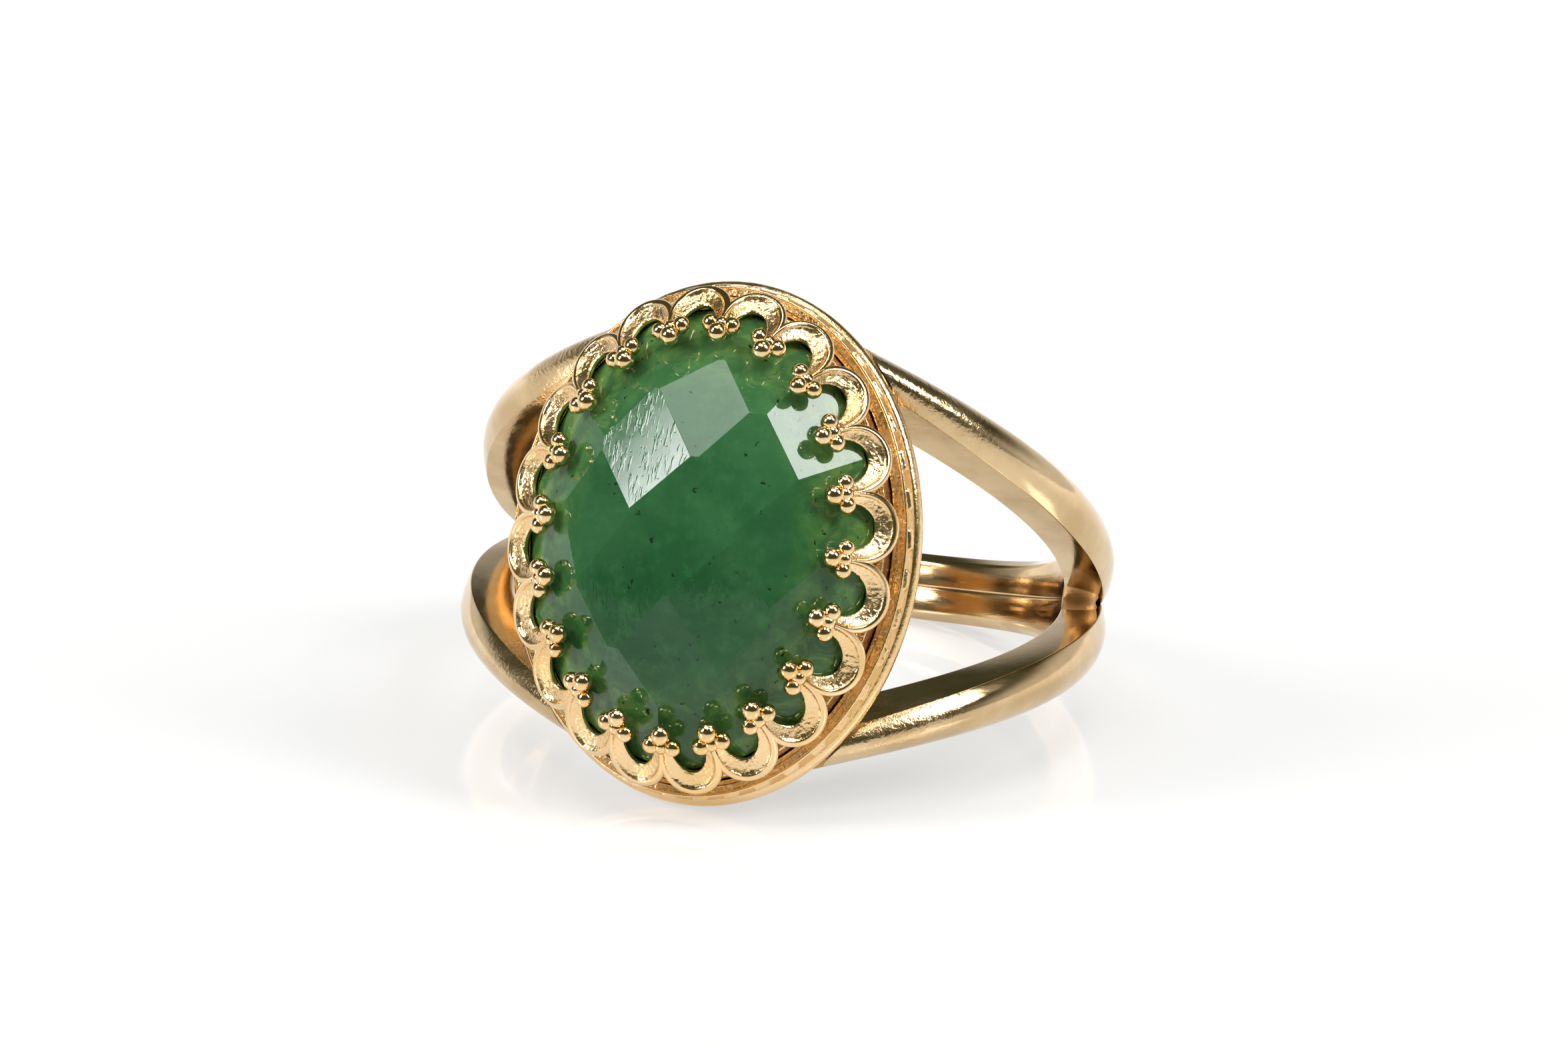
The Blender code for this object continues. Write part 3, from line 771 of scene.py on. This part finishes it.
def crown_angle(along):
    """The oval angle at a place counted in scallops from the top joint, with the hand-made drift."""
    drift = JOINT_SHIFT + JOINT_DRIFT * math.sin(2 * math.tau * along / SCALLOPS)
    turns, place = divmod(along + drift, SCALLOPS)
    return float(np.interp(place, PITCH_COUNTS, PITCH_ANGLES)) + math.tau * turns


def tip_reach(along):
    """How far a prong leans over the stone: a little further at the bottom than at the top."""
    return TIP_REACH - TIP_REACH_BELOW * math.cos(math.tau * along / SCALLOPS)


def crown_point(along, climb):
    """A point on the leaning crown: climb runs from 0 on the band to 1 at a prong's tip."""
    foot = (0.40 * MM, 2.22 * MM)
    knee = (-0.12 * MM, 2.88 * MM)
    tip = (-tip_reach(along), 3.70 * MM)
    a = (1.0 - climb) ** 2
    b = 2.0 * climb * (1.0 - climb)
    c = climb * climb
    offset = a * foot[0] + b * knee[0] + c * tip[0]
    height = a * foot[1] + b * knee[1] + c * tip[1]
    return oval_point(crown_angle(along), offset, height)


def crown_frame(along, climb):
    """Unit vectors along the crown, up it, and square to both, in towards the stone."""
    step = 0.01
    forward = (crown_point(along + step, climb) - crown_point(along - step, climb)).normalized()
    upward = (crown_point(along, climb + step) - crown_point(along, climb - step)).normalized()
    inward = upward.cross(forward).normalized()
    return forward, upward, inward


# Section of an arch in shares of its half width and half depth: a rounded rim on the convex side,
# then a crisp step down into a dished face.
ARCH_RIM = [
    (-1.00, -0.15), (-1.00, 0.12), (-0.97, 0.40), (-0.90, 0.66), (-0.79, 0.86), (-0.66, 0.98),
    (-0.52, 1.04), (-0.38, 1.05), (-0.24, 1.01), (-0.15, 0.94),
]
ARCH_DISH = [
    (-0.11, 0.82), (-0.06, 0.70), (0.01, 0.61), (0.09, 0.54), (0.17, 0.48), (0.26, 0.43), (0.35, 0.38),
    (0.44, 0.33), (0.53, 0.28), (0.63, 0.23), (0.73, 0.18), (0.83, 0.13), (0.93, 0.06),
]
ARCH_BACK = [
    (1.02, -0.08), (1.00, -0.35), (0.85, -0.62), (0.60, -0.85), (0.25, -0.97), (-0.15, -0.98),
    (-0.55, -0.85), (-0.82, -0.62), (-0.95, -0.40),
]
ARCH_SECTION = ARCH_RIM + ARCH_DISH + ARCH_BACK


# In scallops
ARCH_HALF_SPAN = 0.45


def arch_place(index, share):
    """Where an arch is, counted in scallops and in climb, at a share of its way between two prongs."""
    turn = math.pi * share
    along = index + 0.5 - ARCH_HALF_SPAN * math.cos(turn)
    climb = STEM_CLIMB * (1.0 - math.sin(turn))
    return along, climb


ARCH_STATIONS = 72
DISH_GRAIN = 0.025 * MM


def arch_section(index, share):
    """The arch's section at a share of its way from one prong to the next, widest at the bottom."""
    along, climb = arch_place(index, share)
    ahead = crown_point(*arch_place(index, share + 0.02))
    behind = crown_point(*arch_place(index, share - 0.02))
    tangent = (ahead - behind).normalized()
    outward = -crown_frame(along, climb)[2]
    across = outward.cross(tangent).normalized()
    swell = math.sin(math.pi * share)
    wide = (0.17 + 0.21 * swell) * MM
    deep = (0.20 + 0.08 * swell) * MM
    centre = crown_point(along, climb)
    section = [centre + across * (wide * side) + outward * (deep * out) for side, out in ARCH_SECTION]
    for point in section[len(ARCH_RIM):len(ARCH_RIM) + len(ARCH_DISH) - 1]:
        point += outward * (noise.noise(point / GRAIN_SIZE) * DISH_GRAIN * swell)
    return section


def arch_bmesh(index):
    """One U-shaped scallop: polished rim, grainy dished face."""
    shares = [i / (ARCH_STATIONS - 1) for i in range(ARCH_STATIONS)]
    bm = skin_sections([arch_section(index, share) for share in shares], closed=False)
    size = len(ARCH_SECTION)
    for number, face in enumerate(bm.faces):
        dished = len(ARCH_RIM) - 1 <= number % size < len(ARCH_RIM) + len(ARCH_DISH)
        if dished and number < (ARCH_STATIONS - 1) * size:
            face.material_index = SECOND
    return bm


# Shares of a bead's radius: how uneven it is from axis to axis, and over its surface
BEAD_STRETCH = 0.03
BEAD_SWELL = 0.02


def bead_bmesh(centre, radius, chance):
    """A nearly round bead, a little uneven as cast beads are."""
    bm = bmesh.new()
    bmesh.ops.create_icosphere(bm, subdivisions=4, radius=1.0)
    sizes = [radius * (1.0 + chance.uniform(-BEAD_STRETCH, BEAD_STRETCH)) for _ in range(3)]
    shift = Vector([chance.uniform(-50.0, 50.0) for _ in range(3)])
    for vertex in bm.verts:
        swell = 1.0 + BEAD_SWELL * noise.noise(vertex.co * 1.6 + shift)
        vertex.co = Vector([vertex.co[axis] * sizes[axis] * swell for axis in range(3)]) + centre
    return bm


def prong_beads(index):
    """The middles and radii of a prong's tip bead, its two side beads and its stem."""
    side = crown_point(index, SIDE_BEAD_CLIMB)
    shift = crown_frame(index, SIDE_BEAD_CLIMB)[0] * SIDE_BEAD_SHIFT
    yield crown_point(index, 1.0), TIP_BEAD_RADIUS
    yield side - shift, SIDE_BEAD_RADIUS
    yield side + shift, SIDE_BEAD_RADIUS
    yield side, STEM_RADIUS


def build_crown():
    """The band with its row of scallops and three-bead prongs, joined into one skin."""
    chance = random.Random(SEED)
    low = PLATE_FLOOR + CLEARANCE
    corners = [(BAND_INSIDE, low), (BAND_OUTSIDE, low), (BAND_OUTSIDE, BAND_TOP), (BAND_INSIDE, BAND_TOP)]
    materials = [POLISHED, GRANULAR]
    profile = subdivided(rounded(corners, 0.05 * MM, 3), 0.2 * MM)
    band = skin_sections(oval_sections(profile, ROUND_STEPS), closed=True)
    for face in band.faces:
        face.material_index = SECOND
    strip = add_piece("crown_strip", band, HEAD, materials)
    figures = bpy.data.collections.new("figures")
    bpy.context.scene.collection.children.link(figures)
    shapes = []
    for index in range(SCALLOPS):
        shapes.append(arch_bmesh(index))
        shapes.extend(bead_bmesh(*bead, chance) for bead in prong_beads(index))
    for number, bm in enumerate(shapes):
        figure = add_piece("figure_%03d" % number, bm, HEAD, materials)
        bpy.context.scene.collection.objects.unlink(figure)
        figures.objects.link(figure)
    modifier = strip.modifiers.new("figures", "BOOLEAN")
    modifier.operation = "UNION"
    modifier.solver = "MANIFOLD"
    modifier.operand_type = "COLLECTION"
    modifier.collection = figures
    bpy.context.view_layer.update()
    apply_modifiers(strip, 40.0)
    for figure in list(figures.objects):
        bpy.data.objects.remove(figure, do_unlink=True)
    bpy.data.collections.remove(figures)
    finish_piece(strip, ["gallery_strip"])


# Stone mesh ---------------------------------------------------------------------------------------

def facet_places():
    """Where each facet touches the dome: share of the way to the girdle, and angle in degrees."""
    places = [(0.0, 0.0)]
    places += [(0.42, 37.0 + 90.0 * k) for k in range(4)]
    places += [(0.56, 88.0 + 90.0 * k) for k in range(4)]
    places += [(0.85, 9.0 + 30.0 * k) for k in range(12)]
    return places


def dome_height(x, y):
    share = (x / STONE_HALF_WIDTH) ** 2 + (y / STONE_HALF_LENGTH) ** 2
    return GIRDLE_HEIGHT + STONE_DOME * (1.0 - share ** DOME_POWER)


def dome_normal(x, y):
    """The way out of the dome at a place."""
    step = 0.01 * MM
    slope_x = (dome_height(x - step, y) - dome_height(x + step, y)) / (2 * step)
    slope_y = (dome_height(x, y - step) - dome_height(x, y + step)) / (2 * step)
    return Vector((slope_x, slope_y, 1.0)).normalized()


def build_stone():
    """An oval block cut by planes that touch a dome, its edges barely rounded."""
    low = PLATE_FLOOR + BEARING_HEIGHT + 2 * CLEARANCE
    top = GIRDLE_HEIGHT + 2 * STONE_DOME
    steps = 120
    angles = [math.tau * i / steps for i in range(steps)]
    bm = skin_sections([[oval_point(a, 0.0, height) for a in angles] for height in (low, top)], closed=False)
    for share, degrees in facet_places():
        turn = math.radians(degrees)
        x = STONE_HALF_WIDTH * share * math.cos(turn) + CUT_SHIFT_X * (1.0 - share)
        y = STONE_HALF_LENGTH * share * math.sin(turn) + CUT_SHIFT_Y * (1.0 - share)
        place = Vector((x, y, dome_height(x, y)))
        cut = bmesh.ops.bisect_plane(
            bm, geom=bm.verts[:] + bm.edges[:] + bm.faces[:], dist=1e-7,
            plane_co=place, plane_no=dome_normal(x, y), clear_outer=True)
        rim = [item for item in cut["geom_cut"] if isinstance(item, bmesh.types.BMEdge)]
        if rim:
            bmesh.ops.contextual_create(bm, geom=rim)
    bmesh.ops.recalc_face_normals(bm, faces=bm.faces[:])
    stone = add_piece("stone_gem", bm, HEAD, [STONE], 1.0)
    bevel = stone.modifiers.new("edges", "BEVEL")
    bevel.width = 0.025 * MM
    bevel.segments = 2
    bevel.limit_method = "ANGLE"
    bevel.angle_limit = math.radians(4.0)
    bevel.use_clamp_overlap = True
    bpy.context.view_layer.update()
    apply_modifiers(stone, 4.0)
    finish_piece(stone, ["stone"])


build_shank()
build_crotch("crotch_right", "solder_crotch_right", 1)
build_crotch("crotch_left", "solder_crotch_left", -1)
build_tray()
build_top_rail()
build_dashes()
build_edge_rail()
build_crown()
build_stone()

# The CAD's own solder pads and bearing ring stay, with a worked material.
for node_name, node in frame["nodes"].items():
    if node_name.startswith(("solder_upper", "solder_lower")):
        # The pads take the same solder gold, made lighter as painted light.
        node.material_slots[0].material = SOLDER_WITH_PAINTED_LIGHT
    if node_name == "bearing_ring":
        node.material_slots[0].material = CAST


# Stage --------------------------------------------------------------------------------------------

TABLE_HALF_WIDTH = 0.8
TABLE_FRONT = -0.13
TABLE_BACK = 1.5
TABLE_TONES = ((0.355, 0.355, 0.355), (0.370, 0.370, 0.370))


def add_floor():
    """A large glossy white table, with a slight glow of its own that softens the shadows."""
    material, tree, shader = new_material("white_gloss")
    place = millimetres(tree, Matrix.Identity(4))
    tone = mix_colour(tree, noise_value(tree, place, 0.01), *TABLE_TONES)
    tree.links.new(tone, shader.inputs["Base Color"])
    shader.inputs["Roughness"].default_value = 0.08
    shader.inputs["IOR"].default_value = 1.45
    shader.inputs["Emission Color"].default_value = (1.0, 1.0, 1.0, 1.0)
    shader.inputs["Emission Strength"].default_value = 0.55
    bm = bmesh.new()
    bmesh.ops.create_grid(bm, x_segments=12, y_segments=12, size=1.0)
    for vertex in bm.verts:
        vertex.co.x *= TABLE_HALF_WIDTH
        vertex.co.y = TABLE_FRONT + (vertex.co.y + 1.0) / 2.0 * (TABLE_BACK - TABLE_FRONT)
    floor = add_piece("table_top", bm, Matrix.Identity(4), [material])


def direction(azimuth, elevation):
    """Unit vector from the ring: azimuth 0 is -Y and grows towards +X."""
    a, e = math.radians(azimuth), math.radians(elevation)
    return Vector((math.sin(a) * math.cos(e), -math.cos(a) * math.cos(e), math.sin(e)))


def soft_window(tree, view, azimuth, elevation, half_width, half_height, blur):
    """1 inside a rectangle of directions, in degrees, and 0 outside, with soft edges."""
    forward = direction(azimuth, elevation)
    right = forward.cross(Vector((0.0, 0.0, 1.0))).normalized()
    upward = right.cross(forward).normalized()

    def part(axis):
        inputs = {0: view, 1: tuple(axis)}
        return add_node(tree, "ShaderNodeVectorMath", inputs, operation="DOT_PRODUCT").outputs["Value"]

    ahead = maths(tree, "MAXIMUM", part(forward), 0.02)
    mask = smooth_range(tree, part(forward), 0.02, 0.10)
    fade = math.tan(math.radians(blur))
    for axis, half in ((right, half_width), (upward, half_height)):
        offset = maths(tree, "ABSOLUTE", maths(tree, "DIVIDE", part(axis), ahead))
        edge = math.tan(math.radians(half))
        mask = maths(tree, "MULTIPLY", mask, smooth_range(tree, offset, edge - fade, edge + fade, 1.0, 0.0))
    return mask


# azimuth, elevation, half width, half height, blur in degrees, then brightness
WINDOWS = [
    (-52.5, 30.0, 6.33, 13.0, 0.45, 21.5),
    (88.0, 44.0, 7.5, 15.0, 2.0, 16.2),
    (-15.0, 76.0, 22.0, 11.0, 3.0, 5.2),
]


FRONT_TONE = (0.070, 0.076, 0.046)
BACK_TONE = (0.85, 0.85, 0.86)


def build_world():
    """A dark olive room in front, a white low wall behind, and the bright windows."""
    world = bpy.data.worlds.new("studio")
    bpy.context.scene.world = world
    world.use_nodes = True
    tree = world.node_tree
    view = add_node(tree, "ShaderNodeTexCoord").outputs["Generated"]
    split = add_node(tree, "ShaderNodeSeparateXYZ", {0: view}).outputs
    back = smooth_range(tree, split[1], -0.30, 0.50)
    low = smooth_range(tree, split[2], 0.12, 0.42, 1.0, 0.0)
    back = maths(tree, "MULTIPLY", back, low)
    colour = mix_colour(tree, back, FRONT_TONE, BACK_TONE)
    for azimuth, elevation, half_width, half_height, blur, brightness in WINDOWS:
        mask = soft_window(tree, view, azimuth, elevation, half_width, half_height, blur)
        glow = (brightness, brightness, brightness)
        colour = mix_colour(tree, mask, colour, glow)
    seen = add_node(tree, "ShaderNodeLightPath").outputs["Is Camera Ray"]
    colour = mix_colour(tree, seen, colour, (1.0, 1.0, 1.0))
    background = tree.nodes["Background"]
    tree.links.new(colour, background.inputs["Color"])


KEY_AZIMUTH = 150.0
KEY_ELEVATION = 70.0
KEY_DISTANCE = 0.5


def add_key_light():
    """A soft square lamp, high up behind."""
    lamp = bpy.data.lights.new("key", "AREA")
    lamp.shape = "SQUARE"
    lamp.size = 0.16
    lamp.energy = 0.30
    holder = bpy.data.objects.new("key", lamp)
    bpy.context.scene.collection.objects.link(holder)
    place = direction(KEY_AZIMUTH, KEY_ELEVATION) * KEY_DISTANCE
    holder.location = place
    holder.rotation_euler = (-place).to_track_quat("-Z", "Y").to_euler()


add_floor()
build_world()
add_key_light()
bpy.context.scene.view_settings.view_transform = "Standard"
